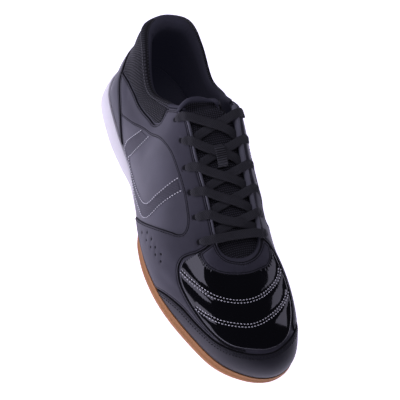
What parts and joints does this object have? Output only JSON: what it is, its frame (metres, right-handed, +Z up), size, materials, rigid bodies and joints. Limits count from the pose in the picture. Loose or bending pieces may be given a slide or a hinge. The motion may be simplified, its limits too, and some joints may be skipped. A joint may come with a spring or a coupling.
{
  "type": "indoor court shoe",
  "caption": "Low-cut right indoor court shoe with a hollow panelled upper, laced throat and tongue, foam heel wedge and gum outsole.",
  "frame": {"origin": "centre of the sole's outline on the floor plane under the heel and forefoot", "axes": "+X from the heel to the toe, +Y towards the inner (medial) side, +Z up"},
  "size_m": [0.2935, 0.101, 0.1069],
  "materials": {
    "gum_rubber": "matte tan gum",
    "white_foam": "smooth white moulded foam",
    "black_leather": "satin dark grey-black synthetic leather",
    "patent_leather": "high-gloss black patent",
    "black_mesh": "open black mesh",
    "black_lace": "flat woven black lace",
    "dark_lining": "smooth dark textile lining"
  },
  "bodies": {
    "root": {"outsole": "gum_rubber", "midsole": "white_foam", "insole": "dark_lining", "upper": "black_leather", "toe_cap": "black_leather", "vamp_panel": "patent_leather", "throat_guard": "black_leather", "heel_counter": "black_leather", "eyestay_lateral": "black_leather", "eyestay_medial": "black_leather", "forefoot_lateral": "black_leather", "forefoot_medial": "black_leather", "collar_cuff": "dark_lining", "tongue": "black_mesh", "lace_bar": "black_lace", "lace_cross_1": "black_lace", "lace_cross_2": "black_lace", "lace_cross_3": "black_lace", "lace_cross_4": "black_lace", "lace_cross_5": "black_lace", "tongue_loop": "black_lace"}
  },
  "joints": []
}
